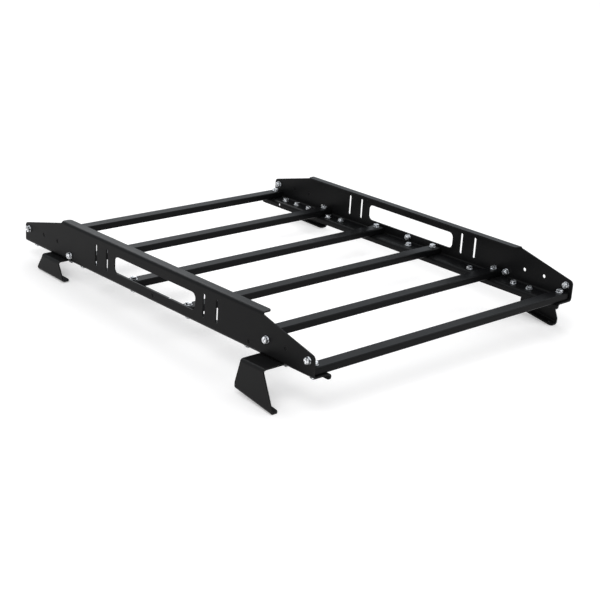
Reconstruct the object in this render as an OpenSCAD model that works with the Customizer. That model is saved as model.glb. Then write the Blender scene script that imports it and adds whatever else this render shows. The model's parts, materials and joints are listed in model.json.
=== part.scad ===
// Low roof rack: two bent sheet side plates, six crossbars and four bent sheet feet.
// Deck axes: X across the rack, Y along the side plates towards the front, Z up.
// Deck height 0 is the underside of the ledges that the crossbars stand on.
// The rear feet are longer than the front ones, so on a level floor the deck leans.

/* [Rack] */
// Width over the outer faces of the side plates
rack_w = 980; // [700:1:1400]
// Length of the side plates
plate_len = 1250; // [1150:1:1800]
// Thickness of the sheet that plates and feet are bent from
sheet_t = 4; // [3:0.5:5]
// Inside radius of every bend
bend_in = 5; // [3:0.5:6]

/* [Side plates] */
// Height of the side plates over the top flange
plate_h = 110; // [105:1:160]
// Length of the top flange
crest_len = 872; // [760:1:900]
// Width of the top flange
flange_w = 31; // [20:1:60]
// Width of the ledge under the crossbars
ledge_w = 59; // [50:1:90]
// Depth of the lip that turns down from the ledge
lip_h = 19; // [12:1:30]
// Radius of the side plates' upper end corners
corner_r = 12; // [4:1:20]
// Radius of the corners at the turned-down lip's ends
lip_r = 9; // [3:1:10]
// Radius of the corners at the top flange's ends
flange_r = 10; // [3:1:12]
// Height of the top flange's ends over the sloping shoulders
flange_step = 6; // [6:1:12]
// Height of the upper row of holes over the crossbars' tops
row_up = 21; // [18:1:24]
// Height of the side plates' ends over the upper row of holes
end_up = 12; // [11:1:30]
// Distance from the plates' ends to the outer open holes of the upper row
row_outer_in = 100; // [85:1:125]
// Distance from the plates' ends to the inner open holes of the upper row
row_inner_in = 170; // [150:1:190]
// Distance from the plates' ends to the holes in the turned-down lips
lip_hole_in = 85; // [60:1:120]
// Height of the holes in the turned-down lips over their lower edges
lip_hole_up = 10; // [8:0.5:12]
// Diameter of the holes in the turned-down lips
lip_hole_d = 9; // [4:0.5:11]

/* [Window and slots] */
// Length of the window
window_len = 355; // [200:1:380]
// Height of the rims under and over the window
window_rim = 31; // [28:1:35]
// Radius of the window's corners
window_r = 15; // [6:1:15]
// Width of the tie-down slots
slot_w = 9; // [6:0.5:14]
// Height of the tie-down slots' lower ends
slot_z = 25; // [22:1:34]
// Depth of the tie-down slots' upper ends under the top
slot_down = 22; // [14:1:34]
// Distance from the window's end to the middle of the next tie-down slot
slot_in = 34.5; // [20:0.5:50]
// Distance between the two slots of a pair
slot_gap = 52; // [30:1:80]

/* [Crossbars] */
// Depth of a crossbar along the rack
bar_w = 38; // [30:1:50]
// Height of a crossbar
bar_h = 20; // [15:1:20]
// Wall of a crossbar
bar_wall = 2; // [1.5:0.5:3]
// Outer corner radius of a crossbar
bar_r = 4; // [3:0.5:6]
// Distance from the plates' ends to the middle of the end crossbars
bar_end_in = 25; // [22:1:40]
// Gap between a crossbar's end and the side plate, past the bend
bar_end_gap = 0.5; // [0.3:0.1:2]

/* [Feet] */
// Width of a foot at its top plate
foot_top_w = 85; // [76:1:110]
// Gap between a foot's top plate and the bend of the turned-down lip
foot_gap = 3; // [0.5:0.5:5]
// Width of a foot's lip, leg included
foot_lip_w = 27; // [24:1:40]
// Radius of a foot lip's corners
foot_lip_r = 9; // [3:1:10]
// Radius of the holes in a foot's lip
foot_hole_r = 4.5; // [3:0.5:5]
// Share of a foot's height over which its leg widens
foot_flare = 0.8; // [0.5:0.05:0.9]
// Distance from the plates' front ends to the middle of the front feet
front_in = 170; // [150:1:200]
// Distance of the front legs outside the side plates
front_out = 26; // [20:1:80]
// Height of the front feet at their middle
front_drop = 55.5; // [45:0.5:80]
// Slope of the front feet's lips
front_slope = 1.4; // [0:0.1:2]
// Spread of a front leg towards the front
front_spread_f = 22; // [10:1:40]
// Spread of a front leg towards the rear
front_spread_r = 20; // [10:1:40]
// Distance from the ends of a front foot's lip to its holes
front_hole_in = 31.5; // [14:0.5:45]
// Distance from the plates' rear ends to the middle of the rear feet
rear_in = 155; // [140:1:190]
// Distance of the rear legs outside the side plates
rear_out = 57; // [20:1:80]
// Height of the rear feet at their middle
rear_drop = 94.5; // [85:0.5:120]
// Slope of the rear feet's lips
rear_slope = 8.5; // [4:0.1:10]
// Spread of a rear leg towards the front
rear_spread_f = 16.5; // [10:0.5:40]
// Spread of a rear leg towards the rear
rear_spread_r = 34; // [10:1:50]
// Distance from the ends of a rear foot's lip to its holes
rear_hole_in = 17.5; // [14:0.5:45]

/* [Bolts] */
// Diameter of every bolt's shank
bolt_d = 10; // [8:0.5:10]
// Play of a bolt in its hole, all round
bolt_play = 0.5; // [0.3:0.1:1]
// Width of a hexagon across its flats
hex_w = 16; // [13:0.5:17]
// Height of a bolt's head
head_h = 6.4; // [5:0.1:8]
// Height of a nut
nut_h = 8; // [5:0.5:9]
// Thread that stands out past a nut
thread_out = 3; // [1:0.5:6]
// Diameter of a washer
washer_d = 20; // [16:0.5:20]
// Thickness of a washer
washer_t = 2; // [1:0.5:2.5]
// Distance from the plates' outer faces to the crossbars' bolts
bar_bolt_in = 25; // [22:1:30]
// Distance from the plates' outer faces to the bolts in the ledges
ledge_bolt_in = 30; // [28:1:36]
// The same for the second ledge bolt from the front and the last one, which sit further in
ledge_deep_in = 39; // [36:0.5:39.5]
// Distance of the first ledge bolt behind crossbar 1
ledge_a_back = 61; // [50:1:66]
// Distance of the second ledge bolt behind crossbar 2
ledge_b_back = 37; // [34:1:44]
// Distance of the third ledge bolt behind crossbar 2
ledge_c_back = 88; // [75:1:100]
// Distance of the fourth ledge bolt ahead of crossbar 4
ledge_d_ahead = 93; // [70:1:110]
// Distance of the last ledge bolt ahead of crossbar 5
ledge_e_ahead = 77; // [60:1:110]
// Distance from the sides of a foot's top plate to its bolts
foot_bolt_in = 14; // [12:1:18]
// Distance from the plates' ends to their corner bolts
corner_bolt_in = 20; // [16:1:26]
// Depth of the corner bolts under the upper row of holes
corner_down = 2.5; // [0:0.5:4]
// Gap between the low bolts' washers and the bend under them
low_up = 0.5; // [0.3:0.1:4]
// Gap between the low bolts' washers and the crossbars beside them
low_gap = 3; // [0.5:0.5:8]

/* [Hidden] */
// Curves are drawn with this many segments
$fn = 48;
// Reach of every cut past the face that it opens
cut = 1;
// Length of a cut that runs past anything
far = 4000;
bend_out = bend_in + sheet_t;
plate_x = rack_w / 2;
half_len = plate_len / 2;
half_crest = crest_len / 2;
crest_z = plate_h - flange_step;
lip_z = sheet_t - lip_h;
bar_z = sheet_t;
bar_top = bar_z + bar_h;
row_z = bar_top + row_up;
end_h = row_z + end_up;
slope_a = atan2(crest_z - end_h, half_len - half_crest);
window_h = plate_h - 2 * window_rim;
slot_h = plate_h - slot_z - slot_down;
slot_y = window_len / 2 + slot_in;
bar_count = 6;
bar_pitch = (plate_len - 2 * bar_end_in) / (bar_count - 1);
bar_len = rack_w - 2 * (bend_out + bar_end_gap);
bolt_hole_d = bolt_d + 2 * bolt_play;
hex_sides = 6;
hex_d = hex_w / cos(180 / hex_sides);

// Ends of the feet along the rack, and how low each end reaches
foot_half = foot_top_w / 2;
foot_under = ledge_w - bend_out - foot_gap;
front_y = half_len - front_in;
rear_y = rear_in - half_len;
front_end = front_y + foot_half + front_spread_f;
front_low = (front_end - front_y) * tan(front_slope) - front_drop;
rear_end = rear_y - foot_half - rear_spread_r;
rear_low = (rear_end - rear_y) * tan(rear_slope) - rear_drop;

// The deck's lean on a level floor, its height there and its middle
tilt = atan2(front_low - rear_low, front_end - rear_end);
lift = front_end * sin(tilt) - front_low * cos(tilt);
corner_z = end_h - corner_r * (1 - sin(slope_a)) / cos(slope_a);
reach_front = (half_len - corner_r) * cos(tilt) + corner_z * sin(tilt) + corner_r;
reach_rear = (lip_z + lip_r) * sin(tilt) - (half_len - lip_r) * cos(tilt) - lip_r;
middle = (reach_front + reach_rear) / 2;

// Middle of a crossbar along the rack, counted from the front
function bar_y(i) = half_len - bar_end_in - (i - 1) * bar_pitch;
function foot_bolt_ys(y) = [y - foot_half + foot_bolt_in, y + foot_half - foot_bolt_in];

// Holes in the side plates: an upper row, low ones beside the second and fifth crossbars, one midway
corner_y = half_len - corner_bolt_in;
corner_bolt_z = row_z - corner_down;
row_ys = [half_len - row_outer_in, half_len - row_inner_in];
low_y = bar_y(2) + bar_w / 2 + washer_d / 2 + low_gap;
low_z = bend_out + low_up + washer_d / 2;

// Bolts in the ledges as [x, y], each set off from the crossbar that its distance is named for
ledge_places = [
    [plate_x - ledge_bolt_in, bar_y(1) - ledge_a_back],
    [plate_x - ledge_deep_in, bar_y(2) - ledge_b_back],
    [plate_x - ledge_bolt_in, bar_y(2) - ledge_c_back],
    [plate_x - ledge_bolt_in, bar_y(4) + ledge_d_ahead],
    [plate_x - ledge_deep_in, bar_y(5) + ledge_e_ahead]
];

// Sets the deck on the floor: leaned onto its four feet and centred over them
module standing() {
    translate([0, -middle, lift])
        rotate([-tilt, 0, 0])
            children();
}

// Turns a shape for the right side, built towards +X, into its left twin
module on_side(left) {
    mirror([left ? 1 : 0, 0, 0])
        children();
}

// Stands a profile drawn as (X, Z) up and runs it along Y, centred
module along_rack(length) {
    translate([0, length / 2, 0])
        rotate([90, 0, 0])
            linear_extrude(length)
                children();
}

// Stands an outline drawn as (Y, Z) up and runs it along X from 0
module across_rack(length) {
    rotate([90, 0, 90])
        linear_extrude(length)
            children();
}

// Quarter of a sheet bend about its centre, in the quadrant that (sx, sy) points to
module bend(sx, sy) {
    intersection() {
        difference() {
            circle(bend_out);
            circle(bend_in);
        }
        scale([sx, sy])
            square(bend_out + cut);
    }
}

// Rectangle with round corners, centred
module rounded_rect(w, h, r) {
    translate([-w / 2 + r, -h / 2])
        square([w - 2 * r, h]);
    translate([-w / 2, -h / 2 + r])
        square([w, h - 2 * r]);
    for (x = [-1, 1], y = [-1, 1])
        translate([x * (w / 2 - r), y * (h / 2 - r)])
            circle(r);
}

// Upright slot with full round ends
module long_slot(w, h) {
    translate([-w / 2, -(h - w) / 2])
        square([w, h - w]);
    for (s = [-1, 1])
        translate([0, s * (h - w) / 2])
            circle(d = w);
}

// Section of a side plate: web, top flange, ledge and turned-down lip
module plate_profile() {
    translate([plate_x - sheet_t, bend_out])
        square([sheet_t, plate_h - 2 * bend_out]);
    translate([plate_x - bend_out, plate_h - bend_out])
        bend(1, 1);
    translate([plate_x - flange_w, plate_h - sheet_t])
        square([flange_w - bend_out, sheet_t]);
    translate([plate_x - bend_out, bend_out])
        bend(1, -1);
    translate([plate_x - ledge_w + bend_out, 0])
        square([ledge_w - 2 * bend_out, sheet_t]);
    translate([plate_x - ledge_w + bend_out, sheet_t - bend_out])
        bend(-1, 1);
    translate([plate_x - ledge_w, lip_z])
        square([sheet_t, lip_h - bend_out]);
}

// Side view of a plate: low ends, sloping shoulders, the raised crest and round lip ends
module plate_outline() {
    lip_y = half_len - lip_r;
    lip_r_z = lip_z + lip_r;
    tangent_y = half_len - corner_r * (1 - sin(slope_a));
    tangent_z = corner_z + corner_r * cos(slope_a);
    polygon([
        [-half_len, lip_r_z], [-lip_y, lip_r_z], [-lip_y, lip_z],
        [lip_y, lip_z], [lip_y, lip_r_z], [half_len, lip_r_z],
        [half_len, corner_z], [tangent_y, tangent_z],
        [half_crest, crest_z], [half_crest, plate_h + cut],
        [-half_crest, plate_h + cut], [-half_crest, crest_z],
        [-tangent_y, tangent_z], [-half_len, corner_z]
    ]);
    for (s = [-1, 1]) {
        translate([s * (half_len - corner_r), corner_z])
            circle(corner_r);
        translate([s * lip_y, lip_r_z])
            circle(lip_r);
    }
}

// What is cut off the flange's inner corner at the end that s points to, in plan
module flange_corner(s) {
    translate([plate_x - flange_w, s * half_crest])
        difference() {
            translate([-cut, s > 0 ? -flange_r : -cut])
                square(flange_r + cut);
            translate([flange_r, -s * flange_r])
                circle(flange_r);
        }
}

module plate_cuts() {
    translate([0, window_rim + window_h / 2])
        rounded_rect(window_len, window_h, window_r);
    for (s = [-1, 1], y = [slot_y, slot_y + slot_gap])
        translate([s * y, slot_z + slot_h / 2])
            long_slot(slot_w, slot_h);
    for (s = [-1, 1], y = row_ys)
        translate([s * y, row_z])
            circle(d = bolt_hole_d);
    for (s = [-1, 1])
        translate([s * corner_y, corner_bolt_z])
            circle(d = bolt_hole_d);
    for (y = [-low_y, 0, low_y])
        translate([y, low_z])
            circle(d = bolt_hole_d);
}

// Places of every bolt hole in a ledge, as [x, y]
function ledge_holes() = concat(
    ledge_places,
    [for (i = [1:bar_count]) [plate_x - bar_bolt_in, bar_y(i)]],
    [for (y = concat(foot_bolt_ys(front_y), foot_bolt_ys(rear_y))) [plate_x - ledge_bolt_in, y]]
);

module side_plate(left) {
    color("dimgray")
        standing()
            on_side(left)
                difference() {
                    intersection() {
                        along_rack(plate_len)
                            plate_profile();
                        across_rack(far)
                            plate_outline();
                    }
                    translate([plate_x - sheet_t - cut, 0, 0])
                        across_rack(sheet_t + 2 * cut)
                            plate_cuts();
                    for (p = ledge_holes())
                        translate([p[0], p[1], -cut])
                            cylinder(d = bolt_hole_d, h = sheet_t + 2 * cut);
                    for (s = [-1, 1])
                        translate([plate_x - ledge_w - cut, s * (half_len - lip_hole_in), lip_z + lip_hole_up])
                            rotate([0, 90, 0])
                                cylinder(d = lip_hole_d, h = bend_out + 2 * cut);
                    for (s = [-1, 1])
                        translate([0, 0, plate_h - sheet_t - cut])
                            linear_extrude(sheet_t + 2 * cut)
                                flange_corner(s);
                }
}

module crossbar(i) {
    color("gray")
        standing()
            translate([-bar_len / 2, bar_y(i), bar_z + bar_h / 2])
                difference() {
                    across_rack(bar_len)
                        difference() {
                            rounded_rect(bar_w, bar_h, bar_r);
                            rounded_rect(bar_w - 2 * bar_wall, bar_h - 2 * bar_wall, bar_r - bar_wall);
                        }
                    for (x = [-1, 1])
                        translate([bar_len / 2 + x * (plate_x - bar_bolt_in), 0, -bar_h])
                            cylinder(d = bolt_hole_d, h = 2 * bar_h);
                }
}

// Sections of a foot: its top plate turns down into the leg, and the leg turns in to the lip
module foot_top_profile(outer_x, drop) {
    translate([plate_x - foot_under, -sheet_t])
        square([outer_x - bend_out - plate_x + foot_under, sheet_t]);
    translate([outer_x - bend_out, -bend_out])
        bend(1, 1);
    translate([outer_x - sheet_t, -drop / 2])
        square([sheet_t, drop / 2 - bend_out]);
}

module foot_lip_profile(outer_x, leg_h) {
    translate([outer_x - sheet_t, bend_out])
        square([sheet_t, leg_h - bend_out]);
    translate([outer_x - bend_out, bend_out])
        bend(1, -1);
    translate([outer_x - foot_lip_w, 0])
        square([foot_lip_w - bend_out, sheet_t]);
}

// Plan of a lip: its two inner corners are round
module lip_plan(outer_x, end_r, end_f) {
    inner_x = outer_x - foot_lip_w;
    translate([inner_x + foot_lip_r, end_r])
        square([foot_lip_w - foot_lip_r + cut, end_f - end_r]);
    translate([inner_x, end_r + foot_lip_r])
        square([foot_lip_w, end_f - end_r - 2 * foot_lip_r]);
    for (y = [end_r + foot_lip_r, end_f - foot_lip_r])
        translate([inner_x + foot_lip_r, y])
            circle(foot_lip_r);
}

// Side view of a foot, about its middle: a leg that widens downwards
module foot_outline(drop, slope, end_r, end_f) {
    knee = -drop * foot_flare;
    polygon([
        [-foot_half, cut], [-foot_half, -bend_out],
        [end_r, knee + end_r * tan(slope)], [end_r, -far],
        [end_f, -far], [end_f, knee + end_f * tan(slope)],
        [foot_half, -bend_out], [foot_half, cut]
    ]);
}

module foot(left, y, out, drop, slope, spread_f, spread_r, hole_in) {
    outer_x = plate_x + out;
    end_r = -foot_half - spread_r;
    end_f = foot_half + spread_f;
    run = end_f - end_r;
    color("dimgray")
        standing()
            on_side(left)
                translate([0, y, 0])
                    difference() {
                        intersection() {
                            union() {
                                along_rack(2 * run)
                                    foot_top_profile(outer_x, drop);
                                intersection() {
                                    translate([0, 0, -drop])
                                        rotate([slope, 0, 0])
                                            along_rack(2 * run)
                                                foot_lip_profile(outer_x, drop / 2 + run * tan(slope));
                                    translate([0, 0, -far])
                                        linear_extrude(far)
                                            lip_plan(outer_x, end_r, end_f);
                                }
                            }
                            across_rack(far)
                                foot_outline(drop, slope, end_r, end_f);
                        }
                        for (b = foot_bolt_ys(0))
                            translate([plate_x - ledge_bolt_in, b, -sheet_t - cut])
                                cylinder(d = bolt_hole_d, h = sheet_t + 2 * cut);
                        translate([0, 0, -drop])
                            rotate([slope, 0, 0])
                                for (h = [end_r + hole_in, end_f - hole_in])
                                    translate([outer_x - (foot_lip_w + sheet_t) / 2, h / cos(slope), -cut])
                                        cylinder(r = foot_hole_r, h = sheet_t + 2 * cut);
                    }
}

// Bolt along +Z from under its washer at 0 down through grip, with washer and nut below
module bolt(grip) {
    cylinder(d = washer_d, h = washer_t);
    translate([0, 0, washer_t])
        cylinder(d = hex_d, h = head_h, $fn = hex_sides);
    nut_z = -grip - washer_t - nut_h;
    translate([0, 0, nut_z - thread_out])
        cylinder(d = bolt_d, h = thread_out + nut_h + washer_t + grip + washer_t);
    translate([0, 0, -grip - washer_t])
        cylinder(d = washer_d, h = washer_t);
    translate([0, 0, nut_z])
        cylinder(d = hex_d, h = nut_h, $fn = hex_sides);
}

module crossbar_bolts(left) {
    color("silver")
        standing()
            on_side(left)
                for (i = [1:bar_count])
                    translate([plate_x - bar_bolt_in, bar_y(i), bar_top])
                        bolt(bar_h + sheet_t);
}

module ledge_bolts(left) {
    color("silver")
        standing()
            on_side(left)
                for (p = ledge_places)
                    translate([p[0], p[1], sheet_t])
                        bolt(sheet_t);
}

module foot_bolts(left, y) {
    color("silver")
        standing()
            on_side(left)
                for (b = foot_bolt_ys(y))
                    translate([plate_x - ledge_bolt_in, b, sheet_t])
                        bolt(2 * sheet_t);
}

// Bolts through a side plate, at places given as [y, z]
module plate_bolts(left, places) {
    color("silver")
        standing()
            on_side(left)
                for (p = places)
                    translate([plate_x, p[0], p[1]])
                        rotate([0, 90, 0])
                            bolt(sheet_t);
}

corner_places = [[-corner_y, corner_bolt_z], [corner_y, corner_bolt_z]];
left_places = concat(corner_places, [[-row_ys[1], row_z], [low_y, low_z]]);
right_places = concat(corner_places, [[-low_y, low_z], [0, low_z]]);

module front_foot(left)
    foot(left, front_y, front_out, front_drop, front_slope, front_spread_f, front_spread_r, front_hole_in);

module rear_foot(left)
    foot(left, rear_y, rear_out, rear_drop, rear_slope, rear_spread_f, rear_spread_r, rear_hole_in);

side_plate(true);  // side_plate_left
side_plate(false);  // side_plate_right
crossbar(1);  // crossbar_1
crossbar(2);  // crossbar_2
crossbar(3);  // crossbar_3
crossbar(4);  // crossbar_4
crossbar(5);  // crossbar_5
crossbar(6);  // crossbar_6
front_foot(true);  // foot_front_left
front_foot(false);  // foot_front_right
rear_foot(true);  // foot_rear_left
rear_foot(false);  // foot_rear_right
crossbar_bolts(true);  // crossbar_bolts_left
crossbar_bolts(false);  // crossbar_bolts_right
foot_bolts(true, front_y);  // foot_bolts_front_left
foot_bolts(false, front_y);  // foot_bolts_front_right
foot_bolts(true, rear_y);  // foot_bolts_rear_left
foot_bolts(false, rear_y);  // foot_bolts_rear_right
ledge_bolts(true);  // ledge_bolts_left
ledge_bolts(false);  // ledge_bolts_right
plate_bolts(true, left_places);  // plate_bolts_left
plate_bolts(false, right_places);  // plate_bolts_right
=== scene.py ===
# %% [markdown]
# # Dressing a low roof rack
# The rack is two bent sheet side plates, six flat tubes between them and four bent sheet feet, all
# powder coated black, and 38 zinc plated bolts that hold it together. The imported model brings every
# piece of it at its real size. This lesson gives the coated pieces their finish, makes the bolts
# again with chamfers, washers and real threads, and photographs the rack from above its rear left
# corner, as in the picture that it is made from.

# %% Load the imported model
import json
import math
import random

import bmesh
import bpy
from mathutils import Matrix, Vector


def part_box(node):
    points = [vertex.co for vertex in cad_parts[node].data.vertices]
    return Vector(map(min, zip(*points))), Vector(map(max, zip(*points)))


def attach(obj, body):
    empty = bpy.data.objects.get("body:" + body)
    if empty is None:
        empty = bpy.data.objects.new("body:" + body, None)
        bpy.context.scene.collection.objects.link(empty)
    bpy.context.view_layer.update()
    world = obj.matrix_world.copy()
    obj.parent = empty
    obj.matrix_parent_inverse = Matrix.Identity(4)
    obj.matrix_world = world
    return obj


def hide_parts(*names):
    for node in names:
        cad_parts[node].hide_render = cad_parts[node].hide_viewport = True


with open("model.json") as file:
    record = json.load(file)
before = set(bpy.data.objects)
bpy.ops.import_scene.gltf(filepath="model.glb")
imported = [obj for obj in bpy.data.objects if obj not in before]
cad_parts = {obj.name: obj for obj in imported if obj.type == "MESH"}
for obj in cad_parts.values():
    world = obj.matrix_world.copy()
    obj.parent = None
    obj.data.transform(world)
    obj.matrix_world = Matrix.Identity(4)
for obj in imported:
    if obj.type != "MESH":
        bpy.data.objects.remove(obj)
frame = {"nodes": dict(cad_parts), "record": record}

bpy.context.view_layer.update()

# %% [markdown]
# ## The camera
# A product picture like this one is taken with a long lens from a few metres away, so the far side
# plate looks nearly as long as the near one. The camera was also held a little askew. A Track To
# constraint would aim it but level it, so its own three directions are written down instead: where
# it looks, and which way is right and up in the picture. They are the columns of its rotation.

# %% Camera
CAMERA_PLACE = Vector((-2.5661, -2.6921, 1.4801))
CAMERA_LOOK = Vector((0.646762, 0.665836, -0.371970)).normalized()
CAMERA_RIGHT = Vector((0.739474, -0.666861, 0.092059)).normalized()
LENS_MM = 83.16
SENSOR_MM = 36
SEES_TO = 200

camera_up = CAMERA_RIGHT.cross(CAMERA_LOOK)
turned = Matrix((CAMERA_RIGHT, camera_up, -CAMERA_LOOK)).transposed()
camera_data = bpy.data.cameras.new("camera")
camera_data.lens = LENS_MM
camera_data.sensor_width = SENSOR_MM
camera_data.clip_end = SEES_TO
camera = bpy.data.objects.new("camera", camera_data)
camera.matrix_world = Matrix.Translation(CAMERA_PLACE) @ turned.to_4x4()
bpy.context.scene.collection.objects.link(camera)
bpy.context.scene.camera = camera
print("camera stands", round(CAMERA_PLACE.length, 2), "m from the rack's middle")

# %% [markdown]
# ## White surroundings
# The rack was photographed on white, and black gloss shows whatever stands round it. So the white
# has to be there for the camera and for reflections, but not as extra light: a world that bright
# would wash the black out. The Light Path node tells the two apart. Camera, glossy and transmission
# rays see the full white, and the rest see the plain level that the rack is lit with. What the
# gloss mirrors from above is a little cool in the picture, and what it mirrors from the floor isn't,
# so the world has that tint for glossy rays alone.

# %% Small helpers for node trees
def node(tree, kind, **settings):
    """A new node with its settings, and its inputs set by name."""
    made = tree.nodes.new(kind)
    inputs = settings.pop("inputs", {})
    for name, value in settings.items():
        setattr(made, name, value)
    for name, value in inputs.items():
        made.inputs[name].default_value = value
    return made


def join(tree, *pairs):
    """Links each (output socket, input socket) pair."""
    for a, b in pairs:
        tree.links.new(a, b)


def math_node(tree, operation, a, b=None, clamp=False):
    """A Math node on two values, each a number or an output socket. Returns its output."""
    made = node(tree, "ShaderNodeMath", operation=operation, use_clamp=clamp)
    for socket, value in zip(made.inputs, (a, b)):
        if value is None:
            continue
        if isinstance(value, (int, float)):
            socket.default_value = value
        else:
            tree.links.new(value, socket)
    return made.outputs[0]


def seen_directly(tree):
    """1 for rays from the camera and for reflected or transmitted ones, else 0."""
    path = node(tree, "ShaderNodeLightPath")
    glossy, through = path.outputs["Is Glossy Ray"], path.outputs["Is Transmission Ray"]
    mirrored = math_node(tree, "MAXIMUM", glossy, through)
    return math_node(tree, "MAXIMUM", path.outputs["Is Camera Ray"], mirrored)

# %% World
def ramp(tree, value, low, high):
    """Maps a 0 to 1 value onto a colour between low and high. Returns the colour socket."""
    made = node(tree, "ShaderNodeMix", data_type="RGBA")
    made.inputs["A"].default_value = (*low, 1.0)
    made.inputs["B"].default_value = (*high, 1.0)
    join(tree, (value, made.inputs["Factor"]))
    return made.outputs["Result"]


WHITE = (1.0, 1.0, 1.0)
COOL_WHITE = (0.90, 0.95, 1.0)
WORLD_LIGHT = 0.55

bpy.context.scene.view_settings.view_transform = "Standard"
world = bpy.data.worlds.new("studio")
bpy.context.scene.world = world
world.use_nodes = True
tree = world.node_tree
tree.nodes.clear()
background = node(tree, "ShaderNodeBackground")
mirrored = node(tree, "ShaderNodeLightPath").outputs["Is Glossy Ray"]
extra = math_node(tree, "MULTIPLY", seen_directly(tree), 1.0 - WORLD_LIGHT)
join(
    tree,
    (ramp(tree, mirrored, WHITE, COOL_WHITE), background.inputs["Color"]),
    (math_node(tree, "ADD", extra, WORLD_LIGHT), background.inputs["Strength"]),
    (background.outputs[0], node(tree, "ShaderNodeOutputWorld").inputs["Surface"]),
)
print("world lights at", WORLD_LIGHT, "and shows at 1")

# %% [markdown]
# ## The floor
# A pale floor carries the soft shadow under the rack. It could be a shadow catcher, but then nothing
# would show in the black gloss from below. A real disc works for both: a matt pale paint, and a
# little glow, seen by the camera and by reflections only, lifts it to the white of the picture. The
# picture was retouched: its shadow lies round the rack, but what shows between the bars is white.
# So the glow is a little stronger in the patch of floor that is seen through the deck: painted light
# that lifts the shadow of the bars there. Far off, where the lamps don't reach, it is stronger too.

# %% Floor
FLOOR_RADIUS = 40.0
FLOOR_SIDES = 64
FLOOR_DROP = 0.0005
FLOOR_PAINT = (0.80, 0.80, 0.805, 1.0)
FLOOR_ROUGHNESS = 0.9
FLOOR_GLOSS = 0.1
FLOOR_GLOW = 0.33
FAR_GLOW = 0.2
FAR_FROM, FAR_TO = 1.2, 4.0
SHADOW_LIFT_GLOW = 0.19
SHADOW_LIFT_MIDDLE = (0.16, 0.17, 0.0)
SHADOW_LIFT_HALF = (0.44, 0.62)
SHADOW_LIFT_EDGE = 0.12

floor_mesh = bpy.data.meshes.new("floor")
bm = bmesh.new()
bmesh.ops.create_circle(bm, cap_ends=True, segments=FLOOR_SIDES, radius=FLOOR_RADIUS)
bm.to_mesh(floor_mesh)
bm.free()
floor = bpy.data.objects.new("floor", floor_mesh)
floor.location.z = -FLOOR_DROP
bpy.context.scene.collection.objects.link(floor)

paint = bpy.data.materials.new("floor_paint")
paint.use_nodes = True
tree = paint.node_tree
shader = tree.nodes["Principled BSDF"]
shader.inputs["Base Color"].default_value = FLOOR_PAINT
shader.inputs["Roughness"].default_value = FLOOR_ROUGHNESS
shader.inputs["Specular IOR Level"].default_value = FLOOR_GLOSS
shader.inputs["Emission Color"].default_value = (*WHITE, 1.0)


def smooth(tree, value, at_none, at_full):
    """0 where the value is at_none, 1 where it is at_full, and a soft step between them."""
    step = node(tree, "ShaderNodeMapRange", interpolation_type="SMOOTHSTEP")
    step.inputs["From Min"].default_value = at_none
    step.inputs["From Max"].default_value = at_full
    join(tree, (value, step.inputs["Value"]))
    return step.outputs["Result"]


place = node(tree, "ShaderNodeTexCoord").outputs["Object"]
distance = node(tree, "ShaderNodeVectorMath", operation="LENGTH")
moved = node(tree, "ShaderNodeVectorMath", operation="SUBTRACT")
moved.inputs[1].default_value = SHADOW_LIFT_MIDDLE
parts = node(tree, "ShaderNodeSeparateXYZ")
join(
    tree,
    (place, distance.inputs[0]),
    (place, moved.inputs[0]),
    (moved.outputs["Vector"], parts.inputs[0]),
)
far_off = smooth(tree, distance.outputs["Value"], FAR_FROM, FAR_TO)
glow = math_node(tree, "MULTIPLY", far_off, FAR_GLOW)
# A painted pool of light: the glow is raised where the floor is seen through the deck, lifting the
# shadow of the bars.
patch = None
for axis, half in zip("XY", SHADOW_LIFT_HALF):
    inside = smooth(tree, math_node(tree, "ABSOLUTE", parts.outputs[axis]), half, half - SHADOW_LIFT_EDGE)
    patch = inside if patch is None else math_node(tree, "MULTIPLY", patch, inside)
glow = math_node(tree, "ADD", glow, math_node(tree, "MULTIPLY", patch, SHADOW_LIFT_GLOW))
glow = math_node(tree, "ADD", glow, FLOOR_GLOW)
join(tree, (math_node(tree, "MULTIPLY", seen_directly(tree), glow), shader.inputs["Emission Strength"]))
floor_mesh.materials.append(paint)
print("floor of", FLOOR_RADIUS, "m radius, just under the feet")

# %% [markdown]
# ## Soft lamps
# Three large square lamps stand in for a studio's softboxes: a key high on the left, a weaker one on
# the right, and one behind that runs a clean line of light along the bends. Large lamps far off keep
# the shadow soft. Their powers are chosen, with the world, so that the floor and the coats come out
# about as light as in the picture.

# %% Lamps
AIM = Vector((0.0, 0.0, 0.1))
LAMPS = {
    "key": ((-2.6, -1.4, 3.4), 2.6, 80.0),
    "fill": ((3.2, -2.0, 2.6), 2.4, 40.0),
    "back": ((1.2, 3.6, 2.8), 2.4, 50.0),
}

for name, (place, side, watts) in LAMPS.items():
    lamp_data = bpy.data.lights.new(name, "AREA")
    lamp_data.size = side
    lamp_data.energy = watts
    lamp = bpy.data.objects.new(name, lamp_data)
    lamp.location = place
    lamp.rotation_mode = "QUATERNION"
    lamp.rotation_quaternion = (AIM - lamp.location).to_track_quat("-Z", "Y")
    bpy.context.scene.collection.objects.link(lamp)
    print(name, "lamp of", watts, "W")

# %% [markdown]
# ## The skin of a powder coat
# Powder paint melts and flows in the oven, and sets with a faint orange peel: waves a few
# millimetres long and some hundredths of a millimetre deep, with a finer grain on top. All the black
# pieces have it, so it is a node group, with the sizes as its inputs. It hands out a height for a
# Bump node and a slow change of gloss, because the film is nowhere equally thick.

# %% Node group: powder skin
def new_group(name, inputs, outputs):
    """An empty shader node group with float inputs {name: default} and outputs {name: socket type}."""
    group = bpy.data.node_groups.new(name, "ShaderNodeTree")
    for label, value in inputs.items():
        socket = group.interface.new_socket(label, in_out="INPUT", socket_type="NodeSocketFloat")
        socket.default_value = value
    for label, kind in outputs.items():
        group.interface.new_socket(label, in_out="OUTPUT", socket_type=kind)
    return group, group.nodes.new("NodeGroupInput"), group.nodes.new("NodeGroupOutput")


NOISE_ROUGHNESS = 0.55


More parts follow.
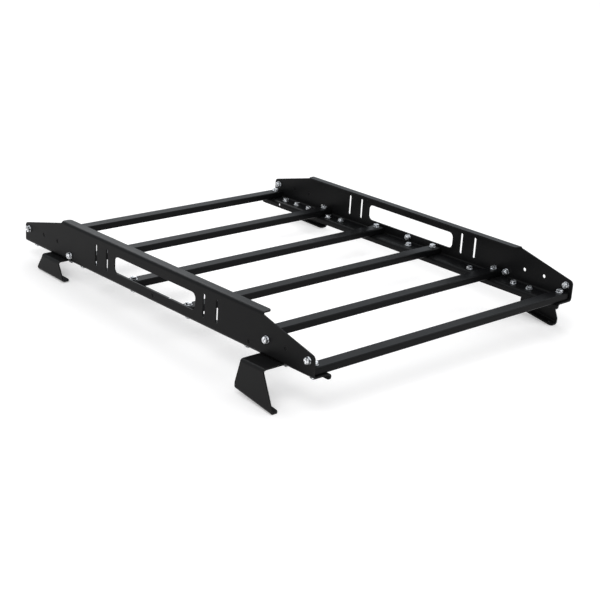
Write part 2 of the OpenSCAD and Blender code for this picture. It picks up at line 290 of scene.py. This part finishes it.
def noise(tree, place, size, detail=2.0):
    """Noise of about size metres, which is a number or a socket. Returns a value from 0 to 1."""
    made = node(tree, "ShaderNodeTexNoise", inputs={"Detail": detail, "Roughness": NOISE_ROUGHNESS})
    scale = math_node(tree, "DIVIDE", 1.0, size)
    join(tree, (place, made.inputs["Vector"]), (scale, made.inputs["Scale"]))
    return made.outputs["Fac"]


powder_skin, given, out = new_group(
    "powder_skin",
    {"Peel size": 0.004, "Grain size": 0.0007, "Grain share": 0.25, "Cloud size": 0.12},
    {"Height": "NodeSocketFloat", "Gloss change": "NodeSocketFloat"},
)
place = node(powder_skin, "ShaderNodeTexCoord").outputs["Object"]
peel = noise(powder_skin, place, given.outputs["Peel size"])
grain = noise(powder_skin, place, given.outputs["Grain size"], detail=1.0)
clouds = noise(powder_skin, place, given.outputs["Cloud size"], detail=4.0)
grain_part = math_node(powder_skin, "MULTIPLY", grain, given.outputs["Grain share"])
join(
    powder_skin,
    (math_node(powder_skin, "ADD", peel, grain_part), out.inputs["Height"]),
    (math_node(powder_skin, "SUBTRACT", clouds, 0.5), out.inputs["Gloss change"]),
)
print("powder skin:", [s.name for s in powder_skin.interface.items_tree])

# %% [markdown]
# ## Soft edges
# A cut sheet is never razor sharp: it is deburred, and the powder rounds it further and runs thin
# there. The thin, rounded edge is what catches a line of light. Rounding the meshes themselves would
# need thousands of faces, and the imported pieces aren't to be changed. The Bevel node gives the
# rounded edge's normal instead, and how far that normal turns away from the face's own tells where
# the edges are.

# %% Node group: soft edge
soft_edge, given, out = new_group(
    "soft_edge",
    {"Radius": 0.0008, "Reach": 6.0},
    {"Normal": "NodeSocketVector", "Edge": "NodeSocketFloat"},
)
bevel = node(soft_edge, "ShaderNodeBevel", samples=6)
face = node(soft_edge, "ShaderNodeNewGeometry")
turn = node(soft_edge, "ShaderNodeVectorMath", operation="DOT_PRODUCT")
join(
    soft_edge,
    (given.outputs["Radius"], bevel.inputs["Radius"]),
    (bevel.outputs["Normal"], turn.inputs[0]),
    (face.outputs["Normal"], turn.inputs[1]),
    (bevel.outputs["Normal"], out.inputs["Normal"]),
)
away = math_node(soft_edge, "SUBTRACT", 1.0, turn.outputs["Value"])
join(
    soft_edge,
    (math_node(soft_edge, "MULTIPLY", away, given.outputs["Reach"], clamp=True), out.inputs["Edge"]),
)
print("soft edge:", [s.name for s in soft_edge.interface.items_tree])

# %% [markdown]
# ## The black coats
# Side plates, tubes and feet are coated alike, but a tube is drawn steel and smoother than hot
# rolled sheet, so its peel is finer and its gloss is a little higher. One function writes the
# material, and the numbers say what differs. The coat is nearly black by itself: what is seen of it
# is mostly the white studio in its gloss, strong at a flat angle and weak face on. Its specular
# level is set on the shader's own socket, so that it stays with the material wherever that goes.

# %% Black powder coats
def powder_coat(name, colour, thin_coat_and_sheen_colour, roughness, swing, peel_size, peel_depth, gloss):
    """Black powder coat: colour, lighter at the edges where the coat runs thin and a highlight is
    painted, with peel and a slow change of gloss.
    """
    made = bpy.data.materials.new(name)
    made.use_nodes = True
    tree = made.node_tree
    shader = tree.nodes["Principled BSDF"]
    shader.inputs["Specular IOR Level"].default_value = gloss
    skin = node(tree, "ShaderNodeGroup", node_tree=powder_skin, inputs={"Peel size": peel_size})
    edge = node(tree, "ShaderNodeGroup", node_tree=soft_edge)
    bump = node(tree, "ShaderNodeBump", inputs={"Strength": 1.0, "Distance": peel_depth})
    change = math_node(tree, "MULTIPLY", skin.outputs["Gloss change"], swing)
    # The base colour turns lighter along the edges: partly the coat running thin there, partly a
    # painted highlight.
    join(
        tree,
        (skin.outputs["Height"], bump.inputs["Height"]),
        (edge.outputs["Normal"], bump.inputs["Normal"]),
        (bump.outputs["Normal"], shader.inputs["Normal"]),
        (math_node(tree, "ADD", change, roughness), shader.inputs["Roughness"]),
        (ramp(tree, edge.outputs["Edge"], colour, thin_coat_and_sheen_colour), shader.inputs["Base Color"]),
    )
    return made


# The edge colours are lighter than the coats: partly the powder running thin at the edges, partly a
# painted highlight along them.
COATS = {
    "side_plate_coat": powder_coat(
        "side_plate_powder", colour=(0.0055, 0.0055, 0.0058), thin_coat_and_sheen_colour=(0.022, 0.022, 0.023),
        roughness=0.36, swing=0.20, peel_size=0.0045, peel_depth=0.00003, gloss=0.08,
    ),
    "crossbar_coat": powder_coat(
        "crossbar_powder", colour=(0.0045, 0.0046, 0.0050), thin_coat_and_sheen_colour=(0.022, 0.022, 0.024),
        roughness=0.32, swing=0.16, peel_size=0.0030, peel_depth=0.00002, gloss=0.056,
    ),
    "foot_coat": powder_coat(
        "foot_powder", colour=(0.0066, 0.0066, 0.0068), thin_coat_and_sheen_colour=(0.026, 0.026, 0.027),
        roughness=0.38, swing=0.20, peel_size=0.0045, peel_depth=0.00003, gloss=0.10,
    ),
}

for part in frame["record"]["subparts"]:
    coat = COATS.get(part["material_slot"])
    if coat is not None:
        frame["nodes"][part["node"]].material_slots[0].material = coat
        print(part["node"], "gets", coat.name)

# %% [markdown]
# ## Bright zinc
# The bolts are zinc plated and passivated: slightly blue metal, with bright and dull patches. In
# white surroundings a metal shows hardly more than its own tint, so the dull patches have a dark
# one, as the picture shows it: that dark tint is partly the zinc's own dull tone and partly painted
# shade, standing in for the dark reflections on the bolts. The material is fully metallic, and one
# noise moves its tint and its roughness. The soft edge group serves here as well, with a smaller
# radius.

# %% Zinc plate
# The dark tint of the dull patches is partly the zinc's own dull tone, partly painted shade for the
# dark reflections on the bolts.
ZINC_DULL_AND_SHADED = (0.22, 0.225, 0.23)
ZINC_BRIGHT = (0.93, 0.94, 0.96)
PATCH_SIZE = 0.005
PATCH_DULL, PATCH_BRIGHT = 0.42, 0.60
ZINC_ROUGHNESS = 0.30
ZINC_SWING = 0.22
MARK_SIZE = 0.0006
MARK_DEPTH = 0.000008
ZINC_EDGE = 0.00025

zinc = bpy.data.materials.new("zinc_plate")
zinc.use_nodes = True
tree = zinc.node_tree
shader = tree.nodes["Principled BSDF"]
shader.inputs["Metallic"].default_value = 1.0
place = node(tree, "ShaderNodeTexCoord").outputs["Object"]
patches = smooth(tree, noise(tree, place, PATCH_SIZE, detail=3.0), PATCH_DULL, PATCH_BRIGHT)
marks = noise(tree, place, MARK_SIZE)
edge = node(tree, "ShaderNodeGroup", node_tree=soft_edge, inputs={"Radius": ZINC_EDGE})
bump = node(tree, "ShaderNodeBump", inputs={"Strength": 1.0, "Distance": MARK_DEPTH})
roughened = math_node(tree, "MULTIPLY", patches, ZINC_SWING)
join(
    tree,
    (marks, bump.inputs["Height"]),
    (edge.outputs["Normal"], bump.inputs["Normal"]),
    (bump.outputs["Normal"], shader.inputs["Normal"]),
    (math_node(tree, "ADD", roughened, ZINC_ROUGHNESS), shader.inputs["Roughness"]),
    (ramp(tree, patches, ZINC_DULL_AND_SHADED, ZINC_BRIGHT), shader.inputs["Base Color"]),
)
print("zinc plate ready")

# %% [markdown]
# ## Where the bolts are
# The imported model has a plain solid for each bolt, and its place is in its mesh. Copying the places
# by hand would go wrong as soon as the rack changes. Instead each solid is found as an island of
# connected faces, and measured along the deck's own directions. The deck leans forward by a few
# degrees, so those directions are taken from the crossbars: forward runs from the last to the first.

# %% The deck's directions, and the islands of a mesh
def middle_of(name):
    low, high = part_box(name)
    return (low + high) / 2


ACROSS = Vector((1.0, 0.0, 0.0))
FORWARD = (middle_of("crossbar_1") - middle_of("crossbar_6")).normalized()
UPWARD = ACROSS.cross(FORWARD)
print("the deck leans", round(math.degrees(math.asin(-FORWARD.z)), 3), "degrees")


SAME_POINT = 1e-6


def islands(name):
    """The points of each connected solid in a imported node."""
    bm = bmesh.new()
    bm.from_mesh(frame["nodes"][name].data)
    bmesh.ops.remove_doubles(bm, verts=bm.verts, dist=SAME_POINT)
    left = set(bm.verts)
    found = []
    while left:
        stack = [left.pop()]
        points = []
        while stack:
            vertex = stack.pop()
            points.append(vertex.co.copy())
            for edge in vertex.link_edges:
                other = edge.other_vert(vertex)
                if other in left:
                    left.remove(other)
                    stack.append(other)
        found.append(points)
    bm.free()
    return sorted(found, key=lambda points: min(p.y for p in points))


def span(points, direction):
    """The least and the greatest of the points along a direction."""
    along = [p.dot(direction) for p in points]
    return min(along), max(along)

# %% [markdown]
# ## A bolt, turned and rolled
# A hexagon bolt is a six-sided bar whose corners are cut off by a shallow cone, so its top ends in a
# circle. A nut has that cone at both ends. Cutting solids from each other would do, but leaves
# untidy faces. Here every piece is a stack of rings, each with the same number of points, and the
# radius may change with the angle. That covers round, six-sided and threaded shapes alike.

# %% Rings and stacks
TURN_POINTS = 48
ANGLES = [2 * math.pi * i / TURN_POINTS for i in range(TURN_POINTS)]
SIXTH = math.pi / 3
CONE_ANGLE = math.radians(30)


def hexagon(across_flats):
    """The radius of a hexagon at each angle."""
    return [across_flats / 2 / math.cos((a + SIXTH / 2) % SIXTH - SIXTH / 2) for a in ANGLES]


def ring(radii, heights):
    """A ring of points. Radii and heights are one number, or one for each angle."""
    r = radii if isinstance(radii, list) else [radii] * TURN_POINTS
    z = heights if isinstance(heights, list) else [heights] * TURN_POINTS
    return [Vector((r[i] * math.cos(a), r[i] * math.sin(a), z[i])) for i, a in enumerate(ANGLES)]


def stack_rings(bm, rings, closed=False):
    """Skins the rings with quads. An open stack is closed by a flat face at each end."""
    rows = [[bm.verts.new(p) for p in points] for points in rings]
    pairs = list(zip(rows, rows[1:]))
    if closed:
        pairs.append((rows[-1], rows[0]))
    for a, b in pairs:
        for i in range(TURN_POINTS):
            j = (i + 1) % TURN_POINTS
            bm.faces.new((a[i], a[j], b[j], b[i]))
    if not closed:
        bm.faces.new(list(reversed(rows[0])))
        bm.faces.new(rows[-1])


def coned(across_flats, height, top_share, up):
    """Where a cone of 30 degrees meets the hexagon's sides: the height at each angle."""
    rim = across_flats / 2 * top_share
    slope = math.tan(CONE_ANGLE)
    return [height - up * (r - rim) * slope for r in hexagon(across_flats)]

# %% [markdown]
# ## Sizes of the fasteners
# These are the sizes of an M10 bolt with its washers and nut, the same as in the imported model, in
# metres. The rolled thread has its real pitch of 1.5 mm. It is a true spiral: the radius at each
# point depends on its height and its angle together, so one turn climbs by one pitch.

# %% Fastener sizes and their pieces
SHANK_R = 0.005
THREAD_PITCH = 0.0015
THREAD_DEPTH = 0.0008
HEX_FLATS = 0.016
HEAD_H = 0.0064
NUT_H = 0.008
THREAD_OUT = 0.003
WASHER_R = 0.010
WASHER_HOLE_R = 0.0053
WASHER_T = 0.002
RIM_SHARE = 0.93
SOFTENED = 0.0004
SEAT_H = 0.0004
TIP_CHAMFER = 0.0008
DISH_R, DISH_RIM_R = 0.70, 0.80
PLAIN_SHARE = 0.98
PITCH_STEPS = 6
TIP_SHARE = 1.2
NUT_PLAY = 0.00005


def washer(bm, low):
    """A stamped washer that lies on height low, its outer edge rounded by the stamping."""
    high = low + WASHER_T
    outline = [
        (WASHER_HOLE_R, low + SOFTENED), (WASHER_HOLE_R + SOFTENED, low),
        (WASHER_R - SOFTENED, low), (WASHER_R, low + SOFTENED),
        (WASHER_R, high - SOFTENED), (WASHER_R - SOFTENED, high),
        (WASHER_HOLE_R + SOFTENED, high), (WASHER_HOLE_R, high - SOFTENED),
    ]
    stack_rings(bm, [ring(r, z) for r, z in outline], closed=True)


def thread_ring(height, fade=0.0):
    """A ring of the rolled thread at a height. Fade cuts its crests down towards the tip."""
    radii = []
    for a in ANGLES:
        turn = (height / THREAD_PITCH - a / (2 * math.pi)) % 1.0
        crest = 1.0 - abs(2.0 * turn - 1.0)
        radii.append(min(SHANK_R - THREAD_DEPTH * (1.0 - crest), SHANK_R - fade))
    return ring(radii, height)


def bolt_body(bm, low, tip):
    """The bolt itself: its head stands on height low, and its thread ends at height tip."""
    top = low + HEAD_H
    rim = HEX_FLATS / 2 * RIM_SHARE
    rings = [
        ring(rim * DISH_R, top - SEAT_H / 2), ring(rim * DISH_RIM_R, top),
        ring(rim, top), ring(hexagon(HEX_FLATS), coned(HEX_FLATS, top, RIM_SHARE, 1)),
        ring(hexagon(HEX_FLATS), low + SEAT_H), ring(rim, low + SEAT_H), ring(rim, low),
        ring(SHANK_R * PLAIN_SHARE, low),
        ring(SHANK_R * PLAIN_SHARE, tip + THREAD_OUT + NUT_H / 2),
    ]
    step = THREAD_PITCH / PITCH_STEPS
    height = tip + THREAD_OUT + NUT_H / 4
    while height > tip + TIP_CHAMFER:
        rings.append(thread_ring(height))
        height -= step
    rings.append(thread_ring(tip + TIP_CHAMFER / 2, fade=TIP_CHAMFER / 2))
    rings.append(ring(SHANK_R - TIP_CHAMFER * TIP_SHARE, tip))
    stack_rings(bm, rings)


def nut(bm, high):
    """A nut that is tightened up against height high."""
    low = high - NUT_H
    hexed = hexagon(HEX_FLATS)
    rim = HEX_FLATS / 2 * RIM_SHARE
    bore = SHANK_R + NUT_PLAY
    rings = [
        ring(rim, high), ring(hexed, coned(HEX_FLATS, high, RIM_SHARE, 1)),
        ring(hexed, coned(HEX_FLATS, low, RIM_SHARE, -1)), ring(rim, low),
        ring(bore + SOFTENED, low), ring(bore, low + SOFTENED),
        ring(bore, high - SOFTENED), ring(bore + SOFTENED, high),
    ]
    stack_rings(bm, rings, closed=True)

# %% [markdown]
# ## One bolt for each solid
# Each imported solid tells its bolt's axis, its middle and its length. What is left of the length after
# the head, the nut and the washers is the grip: how much sheet or tube the bolt clamps. Nuts and
# heads stop wherever the spanner left them, so each bolt is turned by its own random amount, from a
# seeded source so that every run turns them alike.

# %% Make the bolts
OVER_GRIP = WASHER_T + HEAD_H
UNDER_GRIP = WASHER_T + NUT_H + THREAD_OUT
SPIN_SEED = 10
SHARP_ANGLE = math.radians(28)
spins = random.Random(SPIN_SEED)


def one_bolt(bm, points, axis):
    """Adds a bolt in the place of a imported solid, with its head towards axis."""
    side_a = FORWARD
    side_b = axis.cross(side_a)
    low, high = span(points, axis)
    grip = high - low - OVER_GRIP - UNDER_GRIP
    seat = axis * (high - OVER_GRIP)
    seat += side_a * (sum(span(points, side_a)) / 2)
    seat += side_b * (sum(span(points, side_b)) / 2)
    place = Matrix((side_a, side_b, axis)).transposed().to_4x4()
    place.translation = seat
    before = set(bm.verts)
    washer(bm, 0.0)
    washer(bm, -grip - WASHER_T)
    spin_head = Matrix.Rotation(spins.uniform(0, SIXTH), 4, "Z")
    spin_nut = Matrix.Rotation(spins.uniform(0, SIXTH), 4, "Z")
    plain = set(bm.verts)
    bolt_body(bm, WASHER_T, -grip - UNDER_GRIP)
    body = set(bm.verts) - plain
    bmesh.ops.transform(bm, matrix=spin_head, verts=list(body))
    nut(bm, -grip - WASHER_T)
    bmesh.ops.transform(bm, matrix=spin_nut, verts=list(set(bm.verts) - plain - body))
    bmesh.ops.transform(bm, matrix=place, verts=list(set(bm.verts) - before))
    return grip


def outward(name):
    """The way that the heads of a node's bolts point."""
    if not name.startswith("plate_bolts"):
        return UPWARD
    return -ACROSS if name.endswith("left") else ACROSS


for part in frame["record"]["subparts"]:
    name = part["node"]
    if "bolts" not in name:
        continue
    bm = bmesh.new()
    grips = [one_bolt(bm, points, outward(name)) for points in islands(name)]
    bmesh.ops.recalc_face_normals(bm, faces=bm.faces)
    mesh = bpy.data.meshes.new(name + "_made")
    bm.to_mesh(mesh)
    bm.free()
    mesh.shade_smooth()
    mesh.set_sharp_from_angle(angle=SHARP_ANGLE)
    mesh.materials.append(zinc)
    piece = bpy.data.objects.new(name + "_made", mesh)
    bpy.context.scene.collection.objects.link(piece)
    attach(piece, "root")
    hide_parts(name)
    grip_mm = round(grips[0] * 1000, 2)
    print(piece.name, len(grips), "bolts, grip", grip_mm, "mm,", len(mesh.polygons), "faces")

# %% [markdown]
# ## Blanking plugs
# In the picture the spare holes of the left plate and the two at the front of the right plate are
# dark, although what lies behind them is white, while the two at the rear of the right plate show
# light. What closes the dark ones can't be seen. The guess made here is the usual part for it, a
# black plug: a domed button with a short barrel in the hole. No button shows, so each is pushed in
# from the side that the camera doesn't see: inside on the left, outside on the right. Plugs are
# turned shapes, so they are stacks of rings as well. A hole isn't a solid that can be found as an
# island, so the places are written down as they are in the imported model, from the deck's own zero,
# which the crossbars tell. They would have to follow if the rack were changed.

# %% Make the plugs
PLATE_OUT = 0.490
SHEET_T = 0.004
LEFT_INSIDE = SHEET_T - PLATE_OUT
PLUG_PLACES = [
    (LEFT_INSIDE, 0.525, 0.045), (LEFT_INSIDE, 0.455, 0.045), (LEFT_INSIDE, -0.525, 0.045),
    (LEFT_INSIDE, -0.392, 0.0195), (LEFT_INSIDE, 0.0, 0.0195),
    (PLATE_OUT, 0.525, 0.045), (PLATE_OUT, 0.455, 0.045),
]
BARREL_R = 0.0054
BARREL_SUNK = 0.0012
BUTTON_R = 0.0080
BUTTON_H = 0.0018
SHOULDER_R, SHOULDER_H, CROWN_R = 0.9, 0.8, 0.6
DECK_UP = 0.014

bars = [middle_of("crossbar_1"), middle_of("crossbar_6")]
deck_zero = (bars[0] + bars[1]) / 2 - UPWARD * DECK_UP
bm = bmesh.new()
inner = SHEET_T - BARREL_SUNK
for across, along, up in PLUG_PLACES:
    rings = [
        ring(BARREL_R - SOFTENED, -inner), ring(BARREL_R, SOFTENED - inner),
        ring(BARREL_R, 0.0),
        ring(BUTTON_R - SOFTENED, 0.0), ring(BUTTON_R, SOFTENED),
        ring(BUTTON_R * SHOULDER_R, BUTTON_H * SHOULDER_H), ring(BUTTON_R * CROWN_R, BUTTON_H),
    ]
    before = set(bm.verts)
    stack_rings(bm, rings)
    place = Matrix((FORWARD, UPWARD, ACROSS)).transposed().to_4x4()
    place.translation = deck_zero + FORWARD * along + UPWARD * up + ACROSS * across
    bmesh.ops.transform(bm, matrix=place, verts=list(set(bm.verts) - before))
bmesh.ops.recalc_face_normals(bm, faces=bm.faces)
mesh = bpy.data.meshes.new("blanking_plugs")
bm.to_mesh(mesh)
bm.free()
mesh.shade_smooth()
mesh.set_sharp_from_angle(angle=SHARP_ANGLE)
mesh.materials.append(COATS["side_plate_coat"])
plugs = bpy.data.objects.new("blanking_plugs", mesh)
bpy.context.scene.collection.objects.link(plugs)
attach(plugs, "root")
print("blanking plugs:", len(PLUG_PLACES), "of", len(mesh.polygons), "faces in all")

# %% [markdown]
# ## The last update
# Last, the view layer is updated, so that every new piece's place is current.

# %% Update the view layer
bpy.context.view_layer.update()
